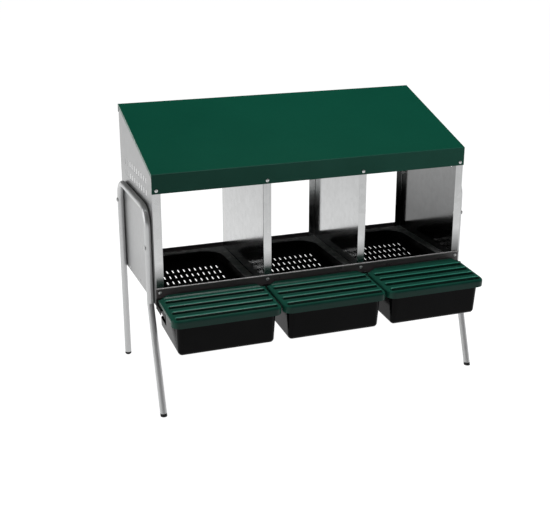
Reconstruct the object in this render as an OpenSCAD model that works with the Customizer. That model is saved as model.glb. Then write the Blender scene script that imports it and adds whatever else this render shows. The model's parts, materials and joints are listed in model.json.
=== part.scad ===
// Roll out nest box: three galvanised nests under a green sheet roof, on two bent tube leg frames.
// Hens lay on slotted trays that slope to the front, and the eggs roll into lidded tubs.
// Millimetres, +Z up, front towards -Y, origin on the floor under the middle of the box.

/* [Box] */
// Distance between neighbouring panels, centre to centre
nest_pitch = 333; // [320:1:380]
// Depth of the panels, front to rear
box_depth = 405; // [380:1:480]
// Height of the panels at the front
front_height = 393; // [360:1:460]
// Slope of the roof in degrees
roof_slope = 18; // [8:0.5:26]
// Thickness of the sheet steel
sheet = 1; // [0.8:0.1:1.4]
// Width of the front flanges of the panels
flange_w = 25; // [20:1:30]
// Width of the rear flanges of the panels
rear_flange_w = 22; // [18:1:28]
// Inner radius of the folds in the sheet
fold_r = 2; // [1:0.5:3]

/* [Vents] */
// Vent slots in a row
vent_count = 10; // [4:1:10]
// Distance between vent slots
vent_pitch = 29; // [22:1:32]
// Height of a vent slot
vent_h = 18; // [10:1:24]
// Width of a vent slot
vent_w = 9; // [4:0.5:12]
// Height of the lower row of vents
vent_z = 324; // [290:1:330]
// Distance between the two rows of vents
vent_row_gap = 36; // [30:1:40]

/* [Roof] */
// Height of the front fascia
fascia_h = 57; // [40:1:80]
// Height of the rear hem
rear_hem_h = 26; // [20:1:40]
// Height of the side hems
side_hem_h = 10; // [6:1:20]

/* [Rails] */
// Height of the front rail strip
rail_h = 31; // [24:1:36]
// Top of the front rail above the panel bottoms
rail_top = 55; // [50:1:70]
// Top of the rear rail above the panel bottoms
rear_rail_top = 35; // [32:1:50]
// Thickness of the rails
rail_t = 1.5; // [1:0.1:2]
// Radius of the rolled top edge of the rails
rail_bead_r = 2.5; // [2:0.1:3.5]

/* [Legs] */
// Outer diameter of the leg tube
tube_d = 20; // [16:0.5:25]
// Wall of the leg tube
tube_wall = 1.5; // [1:0.1:2.5]
// Bend radius of the tube at its middle line
bend_r = 55; // [40:1:80]
// Height of the top bar's middle line above the panel bottoms
leg_top = 285; // [265:1:300]
// Front leg's distance behind the box front
leg_front_in = 30; // [20:1:60]
// Rear leg's distance from the box rear
leg_rear_in = 15; // [12:1:40]
// Height of the panel bottoms above the floor
leg_drop = 315; // [240:1:420]
// Forward splay of the front leg in degrees
leg_splay = 19.5; // [5:0.5:24]
// Height of the front leg's kink above the panel bottoms
kink_z = 0; // [-30:1:60]
// Diameter of the foot caps
cap_d = 20; // [18:0.5:26]
// Height of the foot caps under the tube ends
cap_h = 9; // [5:0.5:16]
// Width of the slanted edge under a foot cap
cap_edge = 3; // [1:0.5:4]
// Height of the top of a foot cap's stem above the floor
cap_stem = 30; // [22:1:40]

/* [Nest tray] */
// Gap between a tray rim and the panels
tray_gap = 1.5; // [1:0.1:3]
// Width of the tray rim
rim_w = 26; // [20:1:32]
// Wall of the tray
tray_wall = 3; // [2:0.5:4]
// Top of the tray rim above the panel bottoms
rim_top = 22; // [18:1:30]
// Radius of the rear corners of the basin
basin_r = 60; // [30:1:90]
// Slope of the tray floor in degrees
floor_slope = 6.5; // [4:0.5:7]
// Depth of the floor's front end below the rim top
floor_drop = 67; // [62:1:70]
// Width of a floor slot
slot_w = 5; // [4:0.5:10]
// Length of a floor slot
slot_l = 24; // [16:1:32]
// Distance between slots across the tray
slot_pitch_x = 18.5; // [14:0.5:24]
// Distance between slots along the tray
slot_pitch_y = 38; // [34:1:48]
// Distance of the rear slots from the basin's rear wall
slot_rear_in = 74; // [60:1:90]
// Width of the angle strips that carry the rim
ledge_w = 14; // [10:1:18]
// Height of those angle strips
ledge_h = 15; // [12:1:18]

/* [Egg tub] */
// Gap between the walls of neighbouring tubs
tub_between = 33; // [31:1:60]
// Width that the rim adds on each side
tub_rim = 10; // [9:0.5:10.5]
// Thickness of the rim
tub_rim_t = 4; // [3:0.5:5]
// Reach of the tub in front of the lid hinge
tub_front = 147; // [130:1:170]
// Reach of the tub behind the lid hinge, under the nest
tub_rear = 70; // [40:1:90]
// Depth of the tub below the lid hinge
tub_depth = 110; // [100:1:130]
// Depth of the tub's low rear part below the lid hinge
tub_low = 75; // [74:1:80]
// Amount each wall leans in from top to bottom
tub_draft = 5.5; // [4:0.5:16]
// Wall of the tub
tub_wall = 3; // [2:0.5:4]
// Radius of the tub's upright corners
tub_corner_r = 24; // [21:1:30]
// Radius of the tub's bottom edges
tub_edge_r = 13; // [10:1:20]
// Tilt of the tub and lid towards the front in degrees
tub_tilt = 4; // [0:0.5:5]
// Distance of the lid hinge in front of the box
hinge_out = 22; // [20:1:30]
// Height of the lid hinge above the panel bottoms
hinge_z = 19; // [18:1:21]

/* [Lid] */
// Width of the lid beyond the tub's rim on each side
lid_side_over = 4; // [3:0.5:4.5]
// Overhang of the lid in front of the tub wall
lid_front_over = 9; // [8:0.5:14]
// Reach of the lid behind its hinge
lid_rear = 10; // [6:0.5:11]
// Thickness of the lid
lid_t = 2.7; // [2:0.1:4]
// Height of the lid's front skirt
lid_skirt = 22; // [14:1:28]
// Height of the lid's side lips
lid_side_h = 12; // [5:0.5:13]
// Corner radius of the lid at the front
lid_corner_r = 26; // [12:1:30]
// Corner radius of the lid at the rear
lid_rear_r = 10; // [8:1:12]
// Rounding of the lid's top edge
lid_edge_r = 7; // [3:0.5:7]
// Number of ribs on the lid
rib_count = 4; // [2:1:4]
// Distance between ribs
rib_pitch = 38; // [26:1:38]
// Distance of the first rib in front of the hinge
rib_first = 20; // [14:1:24]
// Distance of a rib's ends from the lid's sides
rib_end_in = 11; // [8:0.5:30]
// Width of a rib at its foot
rib_w = 11; // [10:0.5:18]
// Height of a rib
rib_h = 6; // [3:0.5:6]
// Height of the upstand along the lid's rear
upstand_h = 9; // [4:0.5:9.5]
// Thickness of the upstand's top
upstand_t = 2.5; // [2:0.5:4]
// Width of the hollow curve in front of the upstand
upstand_run = 13; // [8:1:14]
// Distance of the upstand's foot from the lid's sides
upstand_end_in = 12; // [11:1:40]
// Length of the slope at each end of the upstand
upstand_end_l = 16; // [12:1:40]

/* [Hinge and arms] */
// Diameter of the lid pins
pin_d = 4; // [3:0.1:5]
// Radius of the tub's ears round the pins
ear_r = 3.9; // [3.6:0.1:4]
// Thickness of the ears
ear_t = 5; // [4:0.5:6]
// Reach of the tub arms in front of the hinge
arm_reach = 30; // [24:1:126]
// Overlap of an arm under the tub rim
arm_lap = 8; // [6:0.5:8]
// Thickness of the arms
arm_t = 2; // [1.5:0.1:3]
// Height of the web under an arm
arm_web_h = 14; // [10:1:18]
// Height of an arm's plate on the post
arm_plate_h = 30; // [26:1:32]

/* [Fasteners] */
// Head diameter of the pan-head screws
screw_head_d = 10; // [7:0.5:12]
// Head height of the pan-head screws
screw_head_h = 2.6; // [2:0.1:3.5]
// Shank diameter of the pan-head screws
screw_d = 4; // [3:0.1:5]
// Distance of the fascia screws above the fascia's lower edge
fascia_screw_up = 10; // [8:0.5:14]
// Shank diameter of the leg bolts
bolt_d = 6; // [5:0.5:8]
// Head diameter of the leg bolts
bolt_head_d = 13; // [11:0.5:15]
// Head height of the leg bolts
bolt_head_h = 4; // [3:0.5:5]
// Height of the nuts
nut_h = 5; // [4:0.5:6]
// Width across the nuts' corners
nut_d = 11.5; // [10:0.5:12]
// Height of the rear leg's bolt above the panel bottoms
rear_bolt_z = 222; // [190:1:225]
// Height of the front leg's bolt above the panel bottoms
front_bolt_z = 172; // [160:1:220]
// Rivets along each ledge
rivet_count = 3; // [2:1:5]
// Shank diameter of the rivets
rivet_d = 4; // [3:0.1:5]
// Head diameter of the rivets
rivet_head_d = 8; // [6:0.5:9]
// Head height of the rivets
rivet_head_h = 1.6; // [1:0.1:2]

/* [Clearances] */
// Room round a fastener in its hole, on the radius
hole_gap = 0.2; // [0.1:0.05:0.4]
// Room round a lid pin in the lid, on the radius
pin_gap = 0.05; // [0.03:0.01:0.1]
// Gap between a lifted or sliding piece and its seat
seat_gap = 0.2; // [0.1:0.05:0.3]
// Gap between the closed lid and the tub rim
lid_gap = 0.3; // [0.2:0.05:0.5]

/* [Hidden] */
$fn = 48;
NESTS = 3;
hull_fn = 32;
bend_steps = 5;
corner_steps = 10;
over = 1;
far = 2000;

box_w = NESTS * nest_pitch + sheet;
roof_rise = tan(roof_slope);
rear_height = front_height + box_depth * roof_rise;
roof_up = sheet / cos(roof_slope);
fold_relief = 2 * fold_r;
fascia_low = front_height + roof_up - fascia_h;
rear_hem_low = rear_height + roof_up - rear_hem_h;
fascia_screw_z = fascia_low + fascia_screw_up;
rear_roof_screw_z = rear_hem_low + rear_hem_h * 0.4;
rail_screw_z = rail_top - rail_h * 0.45;
rear_rail_screw_z = rear_rail_top - rail_h * 0.45;

leg_x = box_w / 2 + tube_d / 2;
leg_front_y = leg_front_in;
leg_rear_y = box_depth - leg_rear_in;
splayed_l = (leg_drop + kink_z) / cos(leg_splay);

nest_clear = nest_pitch - sheet;
tray_half = nest_clear / 2 - tray_gap;
tray_front = sheet + tray_gap;
tray_rear = box_depth - sheet - tray_gap;
basin_half = tray_half - rim_w;
basin_rear = tray_rear - rim_w;
slot_cols = floor(2 * basin_half / slot_pitch_x - 2) + 1;
slot_rows = floor((basin_rear - slot_rear_in - tray_front - rim_w - slot_l / 2) / slot_pitch_y) + 1;
floor_front_z = rim_top - floor_drop;
floor_rise = tan(floor_slope);
floor_up = tray_wall / cos(floor_slope);
ledge_top = rim_top - tray_wall - seat_gap;
ledge_in = flange_w;
rivet_z = ledge_top - ledge_h * 0.6;

tub_w = nest_pitch - tub_between;
rim_half = tub_w / 2 + tub_rim;
lid_w = 2 * (rim_half + lid_side_over);
rib_l = lid_w - 2 * rib_end_in;
lid_under = tub_rim_t + lid_gap;
lid_top = lid_under + lid_t;
lid_front = tub_front + lid_front_over;
rim_rear = ear_r + lid_under + over;
lip_t = lid_w / 2 - rim_half - over;
boss_r = ear_r + lid_gap;
tub_lip_low = -norm([lid_rear, lid_top]) - lid_gap;
arm_top = tub_lip_low - seat_gap;
pin_in = tub_w / 2 + over;
pin_l = lid_w / 2 - pin_in - over / 2;
arm_half = nest_pitch / 2 - rim_half + arm_lap;
arm_plate_top = rail_top - rail_h - 2 * over;
arm_screw_z = arm_plate_top - arm_plate_h / 3;

bolt_tip_x = box_w / 2 - sheet - nut_h - over;
front_reach = hinge_out + lid_front * cos(tub_tilt) + (lid_top - lid_edge_r) * sin(tub_tilt);
rear_reach = box_depth + 2 * rail_bead_r;
middle_y = (rear_reach - front_reach) / 2;

// Places of the panels and nests across the box
function panel_x(i) = (i - NESTS / 2) * nest_pitch;
function nest_x(i) = (i - (NESTS - 1) / 2) * nest_pitch;
function fold_dir(i) = i < NESTS / 2 ? 1 : -1;
function flange_x(i) = panel_x(i) + fold_dir(i) * (flange_w - sheet) / 2;
function rear_flange_x(i) = panel_x(i) + fold_dir(i) * (rear_flange_w - sheet) / 2;
function floor_z(y) = floor_front_z + (y - tray_front) * floor_rise;
function rivet_y(k) = box_depth * (k + 0.5) / rivet_count;

// Outline of a strip of thickness t that follows a path, with folds of inner radius r
function left_of(v) = [-v[1], v[0]];
function unit(v) = v / norm(v);
function turn(a, b) = atan2(a[0] * b[1] - a[1] * b[0], a * b);
function fold_points(a, b, c, t, r, side) =
    let (u = unit(b - a), v = unit(c - b), angle = turn(u, v), s = sign(angle), mid_r = r + t / 2)
    let (centre = b - u * mid_r * tan(abs(angle) / 2) + left_of(u) * s * mid_r)
    let (rad = mid_r - side * s * t / 2, start = atan2(u[1], u[0]) - s * 90)
    [for (k = [0 : bend_steps]) let (q = start + angle * k / bend_steps) centre + rad * [cos(q), sin(q)]];
function strip_side(path, t, r, side) =
    let (n = len(path) - 1)
    [for (i = [0 : n]) each
        i == 0 ? [path[0] + left_of(unit(path[1] - path[0])) * side * t / 2] :
        i == n ? [path[n] + left_of(unit(path[n] - path[n - 1])) * side * t / 2] :
        fold_points(path[i - 1], path[i], path[i + 1], t, r, side)];
function reversed(list) = [for (i = [len(list) - 1 : -1 : 0]) list[i]];
function folded_strip(path, t, r) = concat(strip_side(path, t, r, 1), reversed(strip_side(path, t, r, -1)));

// Outline of a rectangle with its own radius at the front and rear corners
function corner(x, y, r, from) =
    [for (k = [0 : corner_steps]) let (q = from + 90 * k / corner_steps) [x + r * cos(q), y + r * sin(q)]];
function round_rect(half, front, rear, front_r, rear_r) = concat(
    corner(half - rear_r, rear - rear_r, rear_r, 0),
    corner(rear_r - half, rear - rear_r, rear_r, 90),
    corner(front_r - half, front + front_r, front_r, 180),
    corner(half - front_r, front + front_r, front_r, 270));

// Stands the box frame, whose zero is the panels' front lower edge, over the origin
module placed() {
    translate([0, -middle_y, leg_drop]) children();
}

// Turns an outline drawn in depth and height into a solid of the given width
module across(width) {
    rotate([90, 0, 90]) linear_extrude(width, center = true) children();
}

// Cylinder along the width, depth or height through a point
module rod_x(d, l) {
    rotate([0, 90, 0]) cylinder(d = d, h = l, center = true);
}
module rod_y(d, l) {
    rotate([90, 0, 0]) cylinder(d = d, h = l, center = true);
}

// Puts children at the hinge line of a nest, tilted with the tub
module at_hinge(x) {
    translate([x, -hinge_out, hinge_z]) rotate([tub_tilt, 0, 0]) children();
}

// Puts children on both sides of a middle plane
module both_sides() {
    for (m = [0, 1]) mirror([m, 0, 0]) children();
}

// Short screws through a plate of thickness grip, clear of the trays behind the flanges
module pan_screw(grip) {
    rotate([-90, 0, 0]) {
        cylinder(d = screw_d, h = grip + sheet + tray_gap / 2);
        rotate([180, 0, 0]) difference() {
            intersection() {
                cylinder(d = screw_head_d, h = screw_head_h);
                translate([0, 0, screw_head_h - screw_head_d]) sphere(d = 2 * screw_head_d);
            }
            for (q = [0, 90]) rotate([0, 0, q]) translate([0, 0, screw_head_h])
                cube([screw_head_d / 2, screw_head_d / 8, screw_head_h], center = true);
        }
    }
}
module front_screw(i, grip, z) {
    translate([flange_x(i), -grip, z]) pan_screw(grip);
}
module rear_screw(i, grip, z) {
    translate([rear_flange_x(i), box_depth + grip, z]) mirror([0, 1, 0]) pan_screw(grip);
}
module front_hole(i, z) {
    translate([flange_x(i), 0, z]) rod_y(screw_d + 2 * hole_gap, 6 * screw_head_h);
}
module rear_hole(i, z) {
    translate([rear_flange_x(i), box_depth, z]) rod_y(screw_d + 2 * hole_gap, 6 * screw_head_h);
}

// Bolt places on the left side, by leg
module at_leg_bolts() {
    translate([0, leg_front_y, front_bolt_z]) children();
    translate([0, leg_rear_y, rear_bolt_z]) children();
}

// Panels

module panel_blank() {
    plan = [
        [flange_w, sheet / 2], [sheet / 2, sheet / 2],
        [sheet / 2, box_depth - sheet / 2], [rear_flange_w, box_depth - sheet / 2]
    ];
    outline = [
        [0, 0], [box_depth, 0],
        [box_depth, rear_height - 2 * fold_relief],
        [box_depth - fold_relief, rear_height - fold_relief * roof_rise],
        [fold_relief, front_height + fold_relief * roof_rise], [0, front_height - fold_relief]
    ];
    intersection() {
        linear_extrude(rear_height) polygon(folded_strip(plan, sheet, fold_r));
        across(far) polygon(outline);
    }
}

module panel_holes(i) {
    for (z = [fascia_screw_z, rail_screw_z, arm_screw_z]) front_hole(i, z);
    for (z = [rear_roof_screw_z, rear_rail_screw_z]) rear_hole(i, z);
    for (k = [0 : rivet_count - 1])
        translate([panel_x(i), rivet_y(k), rivet_z]) rod_x(rivet_d + 2 * hole_gap, 4 * rivet_head_d);
}

module panel(i) {
    difference() {
        translate([panel_x(i) - fold_dir(i) * sheet / 2, 0, 0]) mirror([fold_dir(i) > 0 ? 0 : 1, 0, 0])
            panel_blank();
        panel_holes(i);
    }
}

module vents(i) {
    for (k = [0 : vent_count - 1])
        for (row = [0, 1])
            translate([panel_x(i), box_depth / 2 + (k - (vent_count - 1) / 2) * vent_pitch, vent_z + row * vent_row_gap])
                cube([4 * flange_w / 3, vent_w, vent_h], center = true);
}

module side_panel(i) {
    color("gainsboro") placed() difference() {
        panel(i);
        vents(i);
        at_leg_bolts() translate([panel_x(i), 0, 0]) rod_x(bolt_d + 2 * hole_gap, flange_w);
    }
}

module divider(i) {
    color("gainsboro") placed() panel(i);
}

// Roof

module roof() {
    mid = sheet / 2;
    slope_mid = front_height + roof_up / 2;
    path = [
        [-mid, fascia_low],
        [-mid, slope_mid - mid * roof_rise],
        [box_depth + mid, slope_mid + (box_depth + mid) * roof_rise],
        [box_depth + mid, rear_hem_low]
    ];
    hem = [
        [-mid, front_height + roof_up - side_hem_h],
        [box_depth + mid, rear_height + roof_up - side_hem_h],
        [box_depth + mid, rear_height + roof_up / 2], [-mid, front_height + roof_up / 2]
    ];
    color([0.04, 0.28, 0.21]) placed() difference() {
        union() {
            across(box_w + 2 * sheet) polygon(folded_strip(path, sheet, fold_r));
            both_sides() translate([(box_w + sheet) / 2, 0, 0]) across(sheet) polygon(hem);
        }
        for (i = [0 : NESTS]) {
            front_hole(i, fascia_screw_z);
            rear_hole(i, rear_roof_screw_z);
        }
    }
}

module fascia_screws() {
    color("silver") placed() for (i = [0 : NESTS]) front_screw(i, sheet, fascia_screw_z);
}

module rear_roof_screws() {
    color("silver") placed() for (i = [0 : NESTS]) rear_screw(i, sheet, rear_roof_screw_z);
}

// Rails, drawn with the strip's back on the posts

module rail_bar(top) {
    length = box_w - 2 * sheet;
    translate([-length / 2, -rail_t, top - rail_h]) cube([length, rail_t, rail_h - rail_bead_r]);
    translate([0, -rail_bead_r, top - rail_bead_r]) rod_x(2 * rail_bead_r, length);
}

module front_rail() {
    color([0.18, 0.16, 0.16]) placed() difference() {
        rail_bar(rail_top);
        for (i = [0 : NESTS]) front_hole(i, rail_screw_z);
    }
}

module rail_screws() {
    color("silver") placed() for (i = [0 : NESTS]) front_screw(i, rail_t, rail_screw_z);
}

module rear_rail() {
    color([0.18, 0.16, 0.16]) placed() difference() {
        translate([0, box_depth, 0]) mirror([0, 1, 0]) rail_bar(rear_rail_top);
        for (i = [0 : NESTS]) rear_hole(i, rear_rail_screw_z);
    }
}

module rear_rail_screws() {
    color("silver") placed() for (i = [0 : NESTS]) rear_screw(i, rail_t, rear_rail_screw_z);
}

// Legs: one tube from the rear foot up, over the top and down to the front foot

module tube_ring() {
    difference() {
        circle(d = tube_d);
        circle(d = tube_d - 2 * tube_wall);
    }
}

module tube_bend(y, z, from) {
    translate([0, y, z]) rotate([90, 0, 90]) rotate([0, 0, from])
        rotate_extrude(angle = 90) translate([bend_r, 0]) tube_ring();
}

module leg_run() {
    bend_z = leg_top - bend_r;
    bar = leg_rear_y - leg_front_y - 2 * bend_r;
    translate([0, leg_rear_y, -leg_drop]) linear_extrude(bend_z + leg_drop) tube_ring();
    tube_bend(leg_rear_y - bend_r, bend_z, 0);
    translate([0, leg_rear_y - bend_r, leg_top]) rotate([90, 0, 0]) linear_extrude(bar) tube_ring();
    tube_bend(leg_front_y + bend_r, bend_z, 90);
    at_kink() {
        difference() {
            translate([0, 0, -tube_d]) linear_extrude(bend_z - kink_z + tube_d) tube_ring();
            rotate([-leg_splay / 2, 0, 0]) below(0);
        }
        intersection() {
            rotate([180 - leg_splay, 0, 0]) translate([0, 0, -tube_d])
                linear_extrude(splayed_l + 2 * tube_d) tube_ring();
            rotate([-leg_splay / 2, 0, 0]) below(0);
        }
    }
}

module at_kink() {
    translate([0, leg_front_y, kink_z]) children();
}

// Round stretch along the splayed leg, from a distance above the floor to below it
module front_foot(d, up) {
    at_kink() rotate([180 - leg_splay, 0, 0]) translate([0, 0, splayed_l - up])
        cylinder(d = d, h = up + tube_d);
}

module below(z) {
    translate([-far / 2, -far / 2, z - far]) cube([far, far, far]);
}

module leg_frame() {
    difference() {
        leg_run();
        below(cap_h - leg_drop);
        at_leg_bolts() rod_x(bolt_d + 2 * hole_gap, 2 * tube_d);
    }
}

module left_leg_frame() {
    color("silver") placed() translate([-leg_x, 0, 0]) leg_frame();
}

module right_leg_frame() {
    color("silver") placed() translate([leg_x, 0, 0]) leg_frame();
}

// Foot cap: a head under the tube's end and a stem inside the tube
module cap_pair() {
    stem_d = tube_d - 2 * tube_wall - 2 * hole_gap;
    translate([0, leg_rear_y, -leg_drop]) {
        cylinder(d1 = cap_d - 2 * cap_edge, d2 = cap_d, h = cap_edge);
        translate([0, 0, cap_edge]) cylinder(d = cap_d, h = cap_h - cap_edge);
        translate([0, 0, cap_h / 2]) cylinder(d = stem_d, h = cap_stem - cap_h / 2);
    }
    difference() {
        front_foot(cap_d, cap_h + cap_d);
        below(-leg_drop);
        translate([-far / 2, -far / 2, cap_h - leg_drop]) cube([far, far, far]);
    }
    difference() {
        front_foot(stem_d, cap_stem);
        below(cap_h / 2 - leg_drop);
    }
}

module foot_caps() {
    color([0.2, 0.2, 0.2]) placed() both_sides() translate([leg_x, 0, 0]) cap_pair();
}

// Bolt with a domed head outside the tube and a nut inside the panel, on the right side
module leg_bolt() {
    head_x = leg_x + tube_d / 2;
    translate([bolt_tip_x, 0, 0]) rotate([0, 90, 0]) cylinder(d = bolt_d, h = head_x - bolt_tip_x);
    translate([head_x, 0, 0]) rotate([0, 90, 0]) difference() {
        intersection() {
            cylinder(d = bolt_head_d, h = bolt_head_h);
            translate([0, 0, bolt_head_h - bolt_head_d]) sphere(d = 2 * bolt_head_d);
        }
        translate([0, 0, bolt_head_h / 2]) cylinder(d = bolt_d * 0.7, h = bolt_head_h, $fn = 6);
    }
}

module leg_nut() {
    translate([box_w / 2 - sheet - nut_h, 0, 0]) rotate([0, 90, 0]) difference() {
        cylinder(d = nut_d, h = nut_h, $fn = 6);
        translate([0, 0, -over]) cylinder(d = bolt_d + 2 * hole_gap, h = nut_h + 2 * over);
    }
}

module leg_bolts() {
    color("silver") placed() both_sides() at_leg_bolts() leg_bolt();
}

module leg_nuts() {
    color("silver") placed() both_sides() at_leg_bolts() leg_nut();
}

// Nest trays and the ledges that carry them

module ledge_pair() {
    difference() {
        both_sides() translate([nest_clear / 2, 0, 0]) {
            translate([-ledge_w, ledge_in, ledge_top - sheet]) cube([ledge_w, box_depth - 2 * ledge_in, sheet]);
            translate([-sheet, ledge_in, ledge_top - ledge_h]) cube([sheet, box_depth - 2 * ledge_in, ledge_h]);
        }
        for (k = [0 : rivet_count - 1]) translate([0, rivet_y(k), rivet_z])
            rod_x(rivet_d + 2 * hole_gap, 2 * nest_pitch);
    }
}

module nest_ledges(i) {
    color("silver") placed() translate([nest_x(i), 0, 0]) ledge_pair();
}

// Rivet through a panel, with a ledge on one or both sides of it
module ledge_rivet(i) {
    left = i == 0 ? sheet / 2 : 3 * sheet / 2;
    right = i == NESTS ? sheet / 2 : 3 * sheet / 2;
    translate([-left, 0, 0]) rotate([0, 90, 0]) cylinder(d = rivet_d, h = left + right);
    translate([-left, 0, 0]) rotate([0, -90, 0]) rivet_head();
    translate([right, 0, 0]) rotate([0, 90, 0]) rivet_head();
}

module rivet_head() {
    intersection() {
        cylinder(d = rivet_head_d, h = rivet_head_h);
        translate([0, 0, rivet_head_h - rivet_head_d]) sphere(d = 2 * rivet_head_d);
    }
}

module ledge_rivets() {
    color("silver") placed() for (i = [0 : NESTS]) for (k = [0 : rivet_count - 1])
        translate([panel_x(i), rivet_y(k), rivet_z]) ledge_rivet(i);
}

// Everything above the tray floor, shifted down by a depth
module above_floor(drop) {
    across(far) polygon([
        [-box_depth, floor_z(-box_depth) - drop], [2 * box_depth, floor_z(2 * box_depth) - drop],
        [2 * box_depth, far], [-box_depth, far]
    ]);
}

module floor_slots() {
    straight = slot_l - slot_w;
    for (c = [0 : slot_cols - 1]) for (r = [0 : slot_rows - 1])
        translate([(c - (slot_cols - 1) / 2) * slot_pitch_x, basin_rear - slot_rear_in - r * slot_pitch_y]) {
            square([slot_w, straight], center = true);
            for (end = [-1, 1]) translate([0, end * straight / 2]) circle(d = slot_w, $fn = 24);
        }
}

module tray_body() {
    low = floor_front_z - floor_drop;
    difference() {
        union() {
            translate([0, 0, rim_top - tray_wall]) linear_extrude(tray_wall)
                polygon(round_rect(tray_half, tray_front, tray_rear, tray_wall, tray_wall));
            intersection() {
                translate([0, 0, low]) linear_extrude(rim_top - low) polygon(round_rect(
                    basin_half + tray_wall, tray_front, basin_rear + tray_wall, over, basin_r + tray_wall));
                above_floor(floor_up);
            }
        }
        intersection() {
            translate([0, 0, low]) linear_extrude(rim_top - tray_wall - low)
                polygon(round_rect(basin_half, -rim_w, basin_rear, over, basin_r));
            above_floor(0);
        }
        translate([0, 0, rim_top - 2 * tray_wall]) linear_extrude(3 * tray_wall)
            polygon(round_rect(basin_half, tray_front + rim_w, basin_rear, tray_wall, basin_r));
        translate([0, 0, low]) linear_extrude(floor_drop + far / 20) floor_slots();
    }
}

module nest_tray(i) {
    color([0.08, 0.08, 0.08]) placed() translate([nest_x(i), 0, 0]) tray_body();
}

// Arms that carry the tub rims, one on each post

module tub_arm(i) {
    left = i == 0 ? arm_t / 2 : arm_half;
    right = i == NESTS ? arm_t / 2 : arm_half;
    plate_left = fold_dir(i) > 0 ? left : flange_w;
    plate_right = fold_dir(i) > 0 ? flange_w : right;
    color([0.12, 0.12, 0.12]) placed() difference() {
        union() {
            at_hinge(panel_x(i)) {
                translate([-left, -arm_reach, arm_top - arm_t]) cube([left + right, arm_reach - rim_rear, arm_t]);
                translate([-arm_t / 2, -arm_reach, arm_top - arm_web_h])
                    cube([arm_t, arm_reach + hinge_out - arm_t / 2, arm_web_h]);
            }
            translate([panel_x(i) - plate_left, -arm_t, arm_plate_top - arm_plate_h])
                cube([plate_left + plate_right, arm_t, arm_plate_h]);
        }
        front_hole(i, arm_screw_z);
        translate([-far / 2, 0, -far / 2]) cube([far, far, far]);
    }
}

module arm_screws() {
    color("silver") placed() for (i = [0 : NESTS]) front_screw(i, arm_t, arm_screw_z);
}

// Egg tub, drawn with the lid hinge as its zero

module tub_form(inset, top) {
    edge_r = tub_edge_r - inset;
    corner_r = tub_corner_r - inset;
    half = tub_w / 2 - inset;
    front = -tub_front + inset;
    rear = tub_rear - inset;
    low = inset - tub_depth + edge_r;
    hull() both_sides() {
        for (y = [front + corner_r, rear - corner_r])
            translate([half - corner_r, y, top - over]) cylinder(r = corner_r, h = over, $fn = hull_fn);
        for (y = [front + tub_draft + edge_r, rear - tub_draft - edge_r])
            translate([half - tub_draft - edge_r, y, low]) sphere(r = edge_r, $fn = hull_fn);
    }
}

module tub_body() {
    difference() {
        union() {
            tub_form(0, tub_rim_t);
            linear_extrude(tub_rim_t) polygon(round_rect(
                rim_half, -tub_front - lid_front_over / 2, -rim_rear, tub_corner_r, over));
        }
        tub_form(tub_wall, tub_rim_t + over);
        translate([-far / 2, -rim_rear, -tub_low]) cube([far, far, far]);
    }
    both_sides() {
        translate([rim_half - tub_wall, tub_corner_r - tub_front, tub_lip_low])
            cube([tub_wall, tub_front - tub_corner_r - 2 * rim_rear, over - tub_lip_low]);
        tub_ear();
    }
}

// Ear that holds a lid pin, behind the end of the side wall
module tub_ear() {
    foot = tub_wall / 2;
    difference() {
        translate([tub_w / 2 - foot, 0, 0]) {
            rotate([0, 90, 0]) cylinder(r = ear_r, h = ear_t + foot);
            translate([0, -2 * rim_rear, -ear_r]) cube([ear_t + foot, 2 * rim_rear, 2 * ear_r]);
        }
        translate([pin_in, 0, 0]) rotate([0, 90, 0]) cylinder(d = pin_d + 2 * pin_gap, h = ear_t);
    }
}

module egg_tub(i) {
    color([0.08, 0.08, 0.08]) placed() at_hinge(nest_x(i)) tub_body();
}

// Two short steel pins that carry a lid

module lid_pins(i) {
    color("silver") placed() at_hinge(nest_x(i)) both_sides()
        translate([pin_in, 0, 0]) rotate([0, 90, 0]) cylinder(d = pin_d, h = pin_l);
}

// Lid: a thin pan with a deep front skirt, short side lips, long ribs and a rear upstand

module lid_form() {
    steps = 3;
    hull() for (k = [0 : steps]) {
        q = 90 * k / steps;
        inset = lid_edge_r * (1 - cos(q));
        height = lid_top - lid_edge_r + lid_edge_r * sin(q);
        r = lid_corner_r - inset;
        low = k == 0 ? lid_top - lid_skirt : height - over / 100;
        both_sides() {
            translate([lid_w / 2 - lid_corner_r, -lid_front + lid_corner_r, low])
                cylinder(r = r, h = height - low, $fn = hull_fn);
            translate([lid_w / 2 - lid_rear_r, lid_rear - lid_rear_r, low])
                cylinder(r = lid_rear_r - inset, h = height - low, $fn = hull_fn);
        }
    }
}

module lid_rib() {
    rise = rib_h + over;
    rad = (rib_w * rib_w / 4 + rise * rise) / (2 * rise);
    straight = rib_l - rib_w;
    translate([0, 0, lid_top - over]) intersection() {
        union() {
            translate([0, 0, rise - rad]) rod_x(2 * rad, straight);
            both_sides() translate([straight / 2, 0, rise - rad]) sphere(r = rad);
        }
        translate([-far / 2, -far / 2, 0]) cube([far, far, far]);
    }
}

module lid_body() {
    lip_low = lid_top - lid_side_h;
    difference() {
        union() {
            difference() {
                lid_form();
                translate([0, 0, lid_under - far]) linear_extrude(far) polygon(round_rect(
                    lid_w / 2 - lip_t, -lid_front + lip_t, far, lid_corner_r - lip_t, over));
                translate([-far / 2, lid_corner_r - lid_front, lip_low - far]) cube([far, far, far]);
                translate([-far / 2, boss_r, lid_under - far]) cube([far, far, far]);
            }
            for (k = [0 : rib_count - 1]) translate([0, -rib_first - k * rib_pitch, 0]) lid_rib();
            lid_upstand();
            both_sides() lid_boss();
        }
        both_sides() translate([pin_in, 0, 0]) rotate([0, 90, 0])
            cylinder(d = pin_d + 2 * pin_gap, h = lid_w);
    }
}

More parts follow.
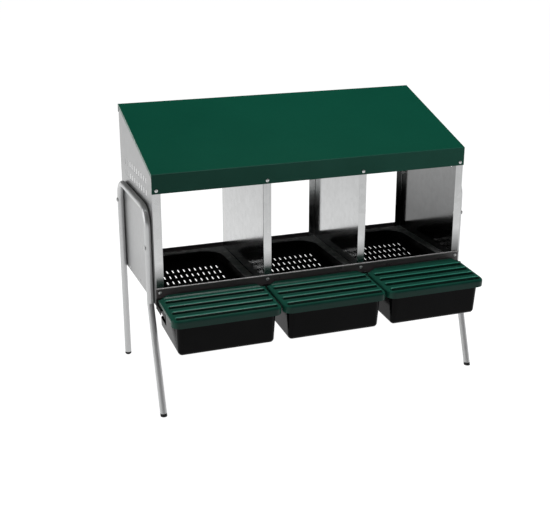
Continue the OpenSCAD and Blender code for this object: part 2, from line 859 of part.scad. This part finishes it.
// Upstand along the rear of the lid, with a hollow curve down to the lid's top
module lid_upstand() {
    rear = lid_rear - 1;
    top = lid_top + upstand_h;
    low = lid_under + lid_t / 4;
    curve = [for (q = [0 : 15 : 90])
        [rear - upstand_t - upstand_run * (1 - cos(q)), top - upstand_h * sin(q)]];
    foot = [[rear - upstand_t - upstand_run, low], [rear, low], [rear, top]];
    half = lid_w / 2 - upstand_end_in;
    slant = upstand_end_l / upstand_h;
    intersection() {
        rotate([90, 0, 90]) linear_extrude(2 * half, center = true) polygon(concat(curve, foot));
        rotate([90, 0, 0]) linear_extrude(far, center = true) polygon([
            [-half - over, 0], [half + over, 0], [half + over, lid_top - over / slant],
            [half - upstand_end_l - over, top + over / slant],
            [over + upstand_end_l - half, top + over / slant], [-half - over, lid_top - over / slant]]);
    }
}

// Boss that hangs from the lid and turns on a pin, outside the tub's ear
module lid_boss() {
    from = tub_w / 2 + ear_t + lid_gap;
    width = lid_w / 2 - from;
    translate([from, 0, 0]) rotate([0, 90, 0]) cylinder(r = boss_r, h = width);
    translate([from, -boss_r, 0]) cube([width, 2 * boss_r, lid_under + lid_t / 2]);
}

module tub_lid(i) {
    color([0.1, 0.31, 0.25]) placed() at_hinge(nest_x(i)) lid_body();
}

side_panel(0);  // left_side_panel
side_panel(3);  // right_side_panel
divider(1);  // left_divider
divider(2);  // right_divider
roof();
fascia_screws();
rear_roof_screws();
front_rail();
rail_screws();
rear_rail();
rear_rail_screws();
left_leg_frame();
right_leg_frame();
foot_caps();
leg_bolts();
leg_nuts();
nest_ledges(0);  // left_nest_ledges
nest_ledges(1);  // middle_nest_ledges
nest_ledges(2);  // right_nest_ledges
ledge_rivets();
nest_tray(0);  // left_nest_tray
nest_tray(1);  // middle_nest_tray
nest_tray(2);  // right_nest_tray
tub_arm(0);  // left_tub_arm
tub_arm(1);  // left_middle_tub_arm
tub_arm(2);  // right_middle_tub_arm
tub_arm(3);  // right_tub_arm
arm_screws();
egg_tub(0);  // left_egg_tub
egg_tub(1);  // middle_egg_tub
egg_tub(2);  // right_egg_tub
tub_lid(0);  // left_tub_lid
tub_lid(1);  // middle_tub_lid
tub_lid(2);  // right_tub_lid
lid_pins(0);  // left_lid_pins
lid_pins(1);  // middle_lid_pins
lid_pins(2);  // right_lid_pins
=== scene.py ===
import bpy
import json
import math
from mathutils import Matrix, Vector


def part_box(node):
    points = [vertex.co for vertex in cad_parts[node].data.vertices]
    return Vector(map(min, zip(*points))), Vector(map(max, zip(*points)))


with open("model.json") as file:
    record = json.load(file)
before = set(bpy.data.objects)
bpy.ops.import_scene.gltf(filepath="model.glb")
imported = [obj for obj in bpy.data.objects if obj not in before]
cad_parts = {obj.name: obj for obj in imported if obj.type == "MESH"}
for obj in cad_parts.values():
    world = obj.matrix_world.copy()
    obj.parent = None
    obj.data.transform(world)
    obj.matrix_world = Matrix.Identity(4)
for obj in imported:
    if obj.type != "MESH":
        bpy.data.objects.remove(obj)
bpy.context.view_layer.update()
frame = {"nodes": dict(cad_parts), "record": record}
nodes = frame["nodes"]
scene = bpy.context.scene


# Sizes of the part that the materials follow, in metres
NEST_PITCH = 0.333
TUB_TILT = math.radians(4)
joints = {joint["name"]: joint for joint in frame["record"]["behaviour"]["joints"]}
HINGE_Y, HINGE_Z = joints["left_lid_hinge"]["pos_m"][1:]
RIB_FIRST = 0.020
RIB_PITCH = 0.038
RAIL_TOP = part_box("front_rail")[1][2]
TRAY_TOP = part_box("left_nest_tray")[1][2]

# Where the lid's top ends across, how high it lies over the hinge and where the skirt turns down
LID_TOP_HALF = (0.149, 0.153)
LID_TOP_HEIGHT = (0.0055, 0.0066)
LID_SKIRT = (0.1475, 0.1545)

# How far above the rail the painted shade on the posts reaches
POST_SHADE = 0.075


# Node material helpers

class Mat:
    """A node material with a Principled shader and short ways to add nodes."""

    def __init__(self, name):
        self.mat = bpy.data.materials.new(name)
        self.mat.use_nodes = True
        self.tree = self.mat.node_tree
        self.bsdf = self.tree.nodes["Principled BSDF"]
        self.coords = self.tree.nodes.new("ShaderNodeTexCoord").outputs["Object"]

    def link(self, a, b):
        self.tree.links.new(a, b)

    def set(self, **values):
        for key, value in values.items():
            self.bsdf.inputs[key.replace("_", " ")].default_value = value

    def stretch(self, scale):
        m = self.tree.nodes.new("ShaderNodeMapping")
        m.inputs["Scale"].default_value = scale
        self.link(self.coords, m.inputs["Vector"])
        return m.outputs["Vector"]

    def noise(self, scale, detail=3.0, roughness=0.5, vector=None, distortion=0.0):
        n = self.tree.nodes.new("ShaderNodeTexNoise")
        n.inputs["Scale"].default_value = scale
        n.inputs["Detail"].default_value = detail
        n.inputs["Roughness"].default_value = roughness
        n.inputs["Distortion"].default_value = distortion
        self.link(vector if vector is not None else self.coords, n.inputs["Vector"])
        return n.outputs["Fac"]

    def cells(self, scale):
        n = self.tree.nodes.new("ShaderNodeTexVoronoi")
        n.inputs["Scale"].default_value = scale
        self.link(self.coords, n.inputs["Vector"])
        split = self.tree.nodes.new("ShaderNodeSeparateColor")
        self.link(n.outputs["Color"], split.inputs["Color"])
        return split.outputs["Red"]

    def ramp(self, value, stops):
        r = self.tree.nodes.new("ShaderNodeValToRGB")
        elements = r.color_ramp.elements
        while len(elements) < len(stops):
            elements.new(0.5)
        for item, (pos, colour) in zip(elements, stops):
            item.position = pos
            item.color = (*colour, 1)
        self.link(value, r.inputs["Fac"])
        return r.outputs["Color"]

    def map(self, value, lo, hi, low_in=0.0, high_in=1.0):
        m = self.tree.nodes.new("ShaderNodeMapRange")
        m.inputs["From Min"].default_value = low_in
        m.inputs["From Max"].default_value = high_in
        m.inputs["To Min"].default_value = lo
        m.inputs["To Max"].default_value = hi
        self.link(value, m.inputs["Value"])
        return m.outputs["Result"]

    def math(self, op, a, b=None):
        m = self.tree.nodes.new("ShaderNodeMath")
        m.operation = op
        for socket, v in zip(m.inputs, (a, b)):
            if v is None:
                continue
            if isinstance(v, (int, float)):
                socket.default_value = v
            else:
                self.link(v, socket)
        return m.outputs[0]

    def mix(self, fac, a, b, mode="MIX"):
        m = self.tree.nodes.new("ShaderNodeMix")
        m.data_type = "RGBA"
        m.blend_type = mode
        for name, v in (("Factor", fac), ("A", a), ("B", b)):
            socket = [s for s in m.inputs if s.name == name and s.enabled][0]
            if isinstance(v, (int, float)):
                socket.default_value = v
            elif isinstance(v, tuple):
                socket.default_value = (*v, 1)
            else:
                self.link(v, socket)
        return [s for s in m.outputs if s.enabled][0]

    def times(self, colour, factor):
        return self.mix(1.0, colour, factor, "MULTIPLY")

    def bump(self, height, strength, distance):
        b = self.tree.nodes.new("ShaderNodeBump")
        b.inputs["Strength"].default_value = strength
        b.inputs["Distance"].default_value = distance
        self.link(height, b.inputs["Height"])
        self.link(b.outputs["Normal"], self.bsdf.inputs["Normal"])

    def axes(self):
        split = self.tree.nodes.new("ShaderNodeSeparateXYZ")
        self.link(self.coords, split.inputs["Vector"])
        return split.outputs["X"], split.outputs["Y"], split.outputs["Z"]

    def colour(self, socket):
        self.link(socket, self.bsdf.inputs["Base Color"])

    def rough(self, socket):
        self.link(socket, self.bsdf.inputs["Roughness"])


def sheet_painted_shade_and_roughness(m, zinc, blur):
    """Painted shade on the sheet: darker towards the bottom inside the right panel and on the outer faces,
    darker towards the top everywhere, and darker on the post flanges just above the rail; the outer faces are
    also rougher.
    """
    low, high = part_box("right_side_panel")
    x, y, z = m.axes()
    skin = (high[0] - 0.0008, high[0] - 0.0002)
    # Painted shade: the inside face of the right panel is darkened towards the bottom.
    inside = m.math("MULTIPLY", m.map(x, 0, 1, 0.40, 0.45), m.map(x, 1, 0, *skin))
    inside = m.math("MULTIPLY", inside, m.map(y, 0, 1, low[1] + 0.002, low[1] + 0.006))
    zinc = m.mix(inside, zinc, m.times(zinc, m.map(z, 0.20, 0.44, 0.42, 0.62)))
    # Painted shade: the outer faces are darkened towards the bottom; they are also made rougher.
    outside = m.map(m.math("ABSOLUTE", x), 0, 1, *skin)
    zinc = m.mix(outside, zinc, m.times(zinc, m.map(z, 0.62, 0.80, 0.32, 0.55)))
    # Painted shade: all of the sheet is darkened towards the top, under the roof.
    zinc = m.times(zinc, m.map(z, 1.04, 0.88, 0.45, 0.68))
    # Painted shade: the front flanges of the posts darken just above the rail.
    on_flange = m.map(y, 1, 0, low[1] + 0.0015, low[1] + 0.003)
    painted_post_shade = m.times(zinc, m.map(z, 0.2, 1.0, RAIL_TOP, RAIL_TOP + POST_SHADE))
    zinc = m.mix(on_flange, zinc, painted_post_shade)
    return zinc, m.math("ADD", blur, m.math("MULTIPLY", outside, 0.2))


def galvanised(name, tone=0.48, spangle=60.0, rough=(0.12, 0.16), contrast=0.05, metal=1.0, marks=None):
    """Zinc coated steel: a soft mirror with very faint crystals and fine rolling streaks."""
    m = Mat(name)
    m.set(Metallic=metal)
    crystal = m.cells(spangle)
    cloud = m.noise(4.0, 3.0, 0.5)
    streak = m.noise(90.0, 2.0, 0.5, m.stretch((1.0, 1.0, 0.02)))
    mixed = m.math("ADD", m.math("MULTIPLY", crystal, 0.2), m.math("MULTIPLY", cloud, 0.5))
    mixed = m.math("ADD", mixed, m.math("MULTIPLY", streak, 0.3))
    lo = tuple(tone * v * (1 - contrast) for v in (0.99, 1.0, 1.0))
    hi = tuple(tone * v * (1 + contrast) for v in (0.99, 1.0, 1.005))
    zinc = m.ramp(mixed, [(0.25, lo), (0.75, hi)])
    blur = m.math("ADD", m.math("MULTIPLY", cloud, 0.7), m.math("MULTIPLY", streak, 0.3))
    blur = m.map(blur, *rough, 0.3, 0.7)
    # Any painted shade and roughness passed in are applied here.
    if marks:
        zinc, blur = marks(m, zinc, blur)
    m.colour(zinc)
    m.rough(blur)
    m.bump(cloud, 0.02, 0.002)
    return m.mat


def paint_nodes(m, dark, light, rough, depth):
    """An even baked colour with faint clouding and a fine orange peel; returns the colour."""
    cloud = m.noise(5.0, 5.0, 0.6)
    fleck = m.noise(140.0, 2.0, 0.5)
    both = m.math("ADD", m.math("MULTIPLY", cloud, 0.75), m.math("MULTIPLY", fleck, 0.25))
    m.rough(m.map(m.noise(24.0, 4.0, 0.6), *rough, 0.3, 0.7))
    m.bump(m.noise(900.0, 2.0, 0.5), 0.2, depth)
    return m.ramp(both, [(0.3, dark), (0.7, light)])


def arm_paint(name):
    """Black baked paint on sheet steel."""
    m = Mat(name)
    m.set(Specular_IOR_Level=0.2)
    m.colour(paint_nodes(m, (0.004, 0.004, 0.004), (0.008, 0.008, 0.008), (0.35, 0.5), 0.00005))
    return m.mat


def rail_paint(name):
    """Dark satin paint, with a painted highlight as a light line along the rolled top edge."""
    m = Mat(name)
    m.set(Specular_IOR_Level=0.5)
    dark = paint_nodes(m, (0.046, 0.039, 0.041), (0.060, 0.051, 0.053), (0.26, 0.36), 0.00005)
    z = m.axes()[2]
    # Painted highlight: a light band along the rolled top edge.
    painted_edge_highlight = m.ramp(m.noise(60.0, 4.0, 0.6), [(0.3, (0.16, 0.155, 0.155)), (0.7, (0.30, 0.29, 0.29))])
    m.colour(m.mix(m.map(z, 0.0, 1.0, RAIL_TOP - 0.0032, RAIL_TOP - 0.0018), dark, painted_edge_highlight))
    return m.mat


def roof_paint(name):
    """Deep green baked paint, with painted shade on the folded fascia that brightens towards the right, and a
    painted reflection as a light strip along the side hems.
    """
    m = Mat(name)
    m.set(Specular_IOR_Level=0.05)
    top = paint_nodes(m, (0.0018, 0.043, 0.0255), (0.0024, 0.048, 0.0285), (0.40, 0.43), 0.00004)
    # Painted shade: the fascia is darker and greyer than the top, and brightens towards the right.
    face = m.ramp(m.noise(7.0, 3.0, 0.5), [(0.3, (0.0050, 0.029, 0.020)), (0.7, (0.0062, 0.034, 0.024))])
    low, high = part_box("roof")
    x, y, _ = m.axes()
    face = m.times(face, m.map(x, 1.1, 1.6, low[0], high[0]))
    on_face = m.map(y, 1.0, 0.0, low[1] + 0.0010, low[1] + 0.0022)
    on_hem = m.map(m.math("ABSOLUTE", x), 0.0, 1.0, high[0] - 0.0009, high[0] - 0.0004)
    # Painted reflection: a light grey-green strip along the side hems, broken up by noise.
    hem_sheen_breakup = m.map(m.noise(90.0, 4.0, 0.6), 0.55, 1.0, 0.35, 0.6)
    painted_hem_sheen = m.ramp(m.noise(30.0, 3.0, 0.5), [(0.3, (0.20, 0.26, 0.235)), (0.7, (0.30, 0.36, 0.33))])
    colour = m.mix(on_face, top, face)
    m.colour(m.mix(m.math("MULTIPLY", on_hem, hem_sheen_breakup), colour, painted_hem_sheen))
    return m.mat


def tub_plastic(name):
    """Glossy black moulded plastic: fine grain and faint flow marks."""
    m = Mat(name)
    m.set(Specular_IOR_Level=0.045)
    flow = m.noise(9.0, 4.0, 0.6, distortion=0.6)
    m.colour(m.ramp(flow, [(0.3, (0.0014, 0.0014, 0.0015)), (0.7, (0.0026, 0.0026, 0.0028))]))
    m.rough(m.map(m.noise(35.0, 4.0, 0.6), 0.09, 0.15, 0.3, 0.7))
    m.bump(m.noise(1500.0, 2.0, 0.5), 0.25, 0.00004)
    return m.mat


def lid_plastic(name):
    """Green moulded plastic, with painted highlights on the rib crests, painted shade in the grooves and painted
    shade on the skirt.
    """
    m = Mat(name)
    m.set(Specular_IOR_Level=0.12)
    flow = m.noise(9.0, 4.0, 0.6, distortion=0.6)
    green = m.ramp(flow, [(0.3, (0.0062, 0.044, 0.030)), (0.7, (0.0080, 0.052, 0.036))])
    x, y, z = m.axes()
    ahead = m.math("SUBTRACT", HINGE_Y, y)
    above = m.math("SUBTRACT", z, HINGE_Z)
    forward = m.math("SUBTRACT", m.math("MULTIPLY", ahead, math.cos(TUB_TILT)),
                     m.math("MULTIPLY", above, math.sin(TUB_TILT)))
    upward = m.math("ADD", m.math("MULTIPLY", above, math.cos(TUB_TILT)),
                    m.math("MULTIPLY", ahead, math.sin(TUB_TILT)))
    step = m.math("FRACT", m.math("DIVIDE", m.math("SUBTRACT", forward, RIB_FIRST), RIB_PITCH))
    across = m.math("FRACT", m.math("DIVIDE", m.math("ADD", x, 1.5 * NEST_PITCH), NEST_PITCH))
    across = m.math("MULTIPLY", m.math("ABSOLUTE", m.math("SUBTRACT", across, 0.5)), NEST_PITCH)
    # Painted highlight on the rib crests and painted shade in the grooves in front of them.
    painted_rib_highlight_and_shade = m.ramp(step, [(0.0, (5.0, 4.0, 4.3)), (0.055, (2.0, 1.9, 1.9)), (0.11, (0.14, 0.14, 0.14)),
                         (0.19, (0.20, 0.20, 0.20)), (0.30, (0.85, 0.85, 0.85)), (0.80, (1.1, 1.1, 1.1)),
                         (0.88, (1.5, 1.5, 1.5)), (1.0, (5.0, 4.0, 4.3))])
    on_top = m.math("MULTIPLY", m.map(across, 1.0, 0.0, *LID_TOP_HALF), m.map(upward, 0.0, 1.0, *LID_TOP_HEIGHT))
    green = m.mix(on_top, green, m.times(green, painted_rib_highlight_and_shade))
    # Painted shade: the front skirt is darkened.
    skirt = m.map(forward, 0.0, 1.0, *LID_SKIRT)
    m.colour(m.mix(skirt, green, m.times(green, (0.5, 0.46, 0.5))))
    m.rough(m.map(m.noise(35.0, 4.0, 0.6), 0.14, 0.20, 0.3, 0.7))
    m.bump(m.noise(1500.0, 2.0, 0.5), 0.25, 0.00004)
    return m.mat


def tray_plastic(name):
    """Black moulded plastic, matt in the basin, with a painted sheen as lighter grey on the rim."""
    m = Mat(name)
    m.set(Specular_IOR_Level=0.14)
    z = m.axes()[2]
    flow = m.noise(11.0, 4.0, 0.6, distortion=0.5)
    basin = m.ramp(flow, [(0.3, (0.0018, 0.0018, 0.0019)), (0.7, (0.0032, 0.0032, 0.0034))])
    # Painted sheen: the rim is coloured grey.
    rim = m.ramp(m.noise(40.0, 5.0, 0.6), [(0.3, (0.24, 0.24, 0.242)), (0.7, (0.30, 0.30, 0.302))])
    on_rim = m.map(z, 0.0, 1.0, TRAY_TOP - 0.004, TRAY_TOP - 0.0008)
    m.colour(m.mix(on_rim, basin, rim))
    grain = m.map(m.noise(35.0, 4.0, 0.6), 0.36, 0.5, 0.3, 0.7)
    m.rough(m.math("SUBTRACT", grain, m.math("MULTIPLY", on_rim, 0.18)))
    m.bump(m.noise(1200.0, 2.0, 0.5), 0.3, 0.00005)
    return m.mat


def fastener(name, tone=0.62, rough=(0.24, 0.42)):
    """Plated steel with fine turning marks and dull patches."""
    m = Mat(name)
    m.set(Metallic=1.0)
    patch = m.noise(320.0, 4.0, 0.6)
    dull = (tone * 0.82, tone * 0.83, tone * 0.84)
    m.colour(m.ramp(patch, [(0.3, dull), (0.7, (tone, tone, tone * 0.99))]))
    m.rough(m.map(patch, *rough, 0.3, 0.7))
    m.bump(m.noise(1800.0, 2.0, 0.5), 0.3, 0.00005)
    return m.mat


def rubber(name):
    """Matt dark rubber, faintly dusty."""
    m = Mat(name)
    m.set(Specular_IOR_Level=0.2)
    dust = m.noise(45.0, 5.0, 0.65)
    m.colour(m.ramp(dust, [(0.35, (0.010, 0.010, 0.011)), (0.75, (0.035, 0.035, 0.035))]))
    m.rough(m.map(dust, 0.55, 0.8, 0.3, 0.7))
    m.bump(m.noise(700.0, 3.0, 0.6), 0.35, 0.0001)
    return m.mat


SLOT_MATERIALS = {
    "galvanised_sheet": galvanised("galvanised_sheet", contrast=0.09, marks=sheet_painted_shade_and_roughness),
    "galvanised_strip": galvanised("galvanised_strip", tone=0.45, spangle=90.0, rough=(0.28, 0.4)),
    "leg_tube": galvanised("leg_tube", tone=0.50, spangle=140.0, rough=(0.26, 0.34), metal=0.55),
    "green_paint": roof_paint("green_paint"),
    "dark_rail": rail_paint("dark_rail"),
    "black_steel": arm_paint("black_steel"),
    "tray_plastic": tray_plastic("tray_plastic"),
    "tub_plastic": tub_plastic("tub_plastic"),
    "green_plastic": lid_plastic("green_plastic"),
    "zinc_fastener": fastener("zinc_fastener"),
    "black_fastener": fastener("black_fastener", tone=0.5, rough=(0.3, 0.45)),
    "foot_rubber": rubber("foot_rubber"),
}
for entry in frame["record"]["subparts"]:
    obj = nodes[entry["node"]]
    obj.data.materials.clear()
    obj.data.materials.append(SLOT_MATERIALS[entry["material_slot"]])


# Floor, light and camera
FLOOR_HALF = 80.0
AIR = 0.007
BACKDROP = 0.04
FOCAL_PIXELS = 1015.5
PHOTO_WIDTH = 550
SENSOR_MM = 36.0
CAMERA_PLACE = (-1.1380, -2.8195, 1.4169)
CAMERA_PITCH, CAMERA_TURN = 18.85, 20.44


def floor():
    """A wide pale floor that glows softly."""
    corners = [(-1, -1), (1, -1), (1, 1), (-1, 1)]
    mesh = bpy.data.meshes.new("floor")
    mesh.from_pydata([(x * FLOOR_HALF, y * FLOOR_HALF, 0) for x, y in corners], [], [(0, 1, 2, 3)])
    obj = bpy.data.objects.new("floor", mesh)
    scene.collection.objects.link(obj)
    m = Mat("floor_paper")
    soft = m.noise(1.2, 3.0, 0.5)
    m.colour(m.ramp(soft, [(0.3, (0.17, 0.17, 0.17)), (0.7, (0.19, 0.19, 0.19))]))
    m.set(Roughness=0.9, Specular_IOR_Level=0.0, Emission_Color=(1, 1, 1, 1), Emission_Strength=1.0)
    mesh.materials.append(m.mat)


def studio_world():
    """Dim studio air, white at the horizon, with a pale backdrop some way up behind the object."""
    world = bpy.data.worlds.new("studio")
    scene.world = world
    world.use_nodes = True
    tree = world.node_tree
    split = tree.nodes.new("ShaderNodeSeparateXYZ")
    tree.links.new(tree.nodes.new("ShaderNodeTexCoord").outputs["Generated"], split.inputs["Vector"])

    def fade(axis, start, end):
        m = tree.nodes.new("ShaderNodeMapRange")
        m.interpolation_type = "SMOOTHSTEP"
        m.inputs["From Min"].default_value = start
        m.inputs["From Max"].default_value = end
        tree.links.new(split.outputs[axis], m.inputs["Value"])
        return m.outputs["Result"]

    def combine(op, a, b):
        m = tree.nodes.new("ShaderNodeMath")
        m.operation = op
        tree.links.new(a, m.inputs[0])
        if isinstance(b, float):
            m.inputs[1].default_value = b
        else:
            tree.links.new(b, m.inputs[1])
        return m.outputs[0]

    behind = fade("Y", -0.2, 0.35)
    low_down = fade("Z", 0.72, 0.42)
    leftward = fade("X", 0.46, 0.14)
    backdrop = combine("MULTIPLY", combine("MULTIPLY", behind, low_down), leftward)
    glow = combine("MULTIPLY", backdrop, BACKDROP - AIR)
    horizon = combine("MULTIPLY", fade("Z", 0.16, 0.07), 1.0 - AIR)
    air = combine("ADD", combine("MAXIMUM", glow, horizon), AIR)
    background = tree.nodes["Background"]
    background.inputs["Color"].default_value = (1.0, 1.0, 1.0, 1.0)
    tree.links.new(air, background.inputs["Strength"])


def area(name, place, target, size, power):
    """A square area light aimed at a point."""
    data = bpy.data.lights.new(name, "AREA")
    data.shape = "RECTANGLE"
    data.size = data.size_y = size
    data.energy = power
    obj = bpy.data.objects.new(name, data)
    scene.collection.objects.link(obj)
    obj.location = place
    obj.rotation_euler = (Vector(target) - Vector(place)).to_track_quat("-Z", "Y").to_euler()


def aim_camera():
    """The camera fitted to the photograph."""
    data = bpy.data.cameras.new("camera")
    data.sensor_fit = "HORIZONTAL"
    data.sensor_width = SENSOR_MM
    data.lens = FOCAL_PIXELS * SENSOR_MM / PHOTO_WIDTH
    data.clip_start = 0.05
    data.clip_end = 200
    obj = bpy.data.objects.new("camera", data)
    scene.collection.objects.link(obj)
    obj.location = CAMERA_PLACE
    obj.rotation_euler = (math.radians(90 - CAMERA_PITCH), 0, math.radians(-CAMERA_TURN))
    scene.camera = obj


floor()
studio_world()
area("key_light", (0.4, -0.5, 3.2), (0, 0, 0.4), 1.6, 95)
area("side_fill", (-2.8, 0.5, 1.3), (-0.5, 0.1, 0.5), 1.8, 26)
scene.view_settings.view_transform = "Standard"
scene.view_settings.look = "None"
aim_camera()
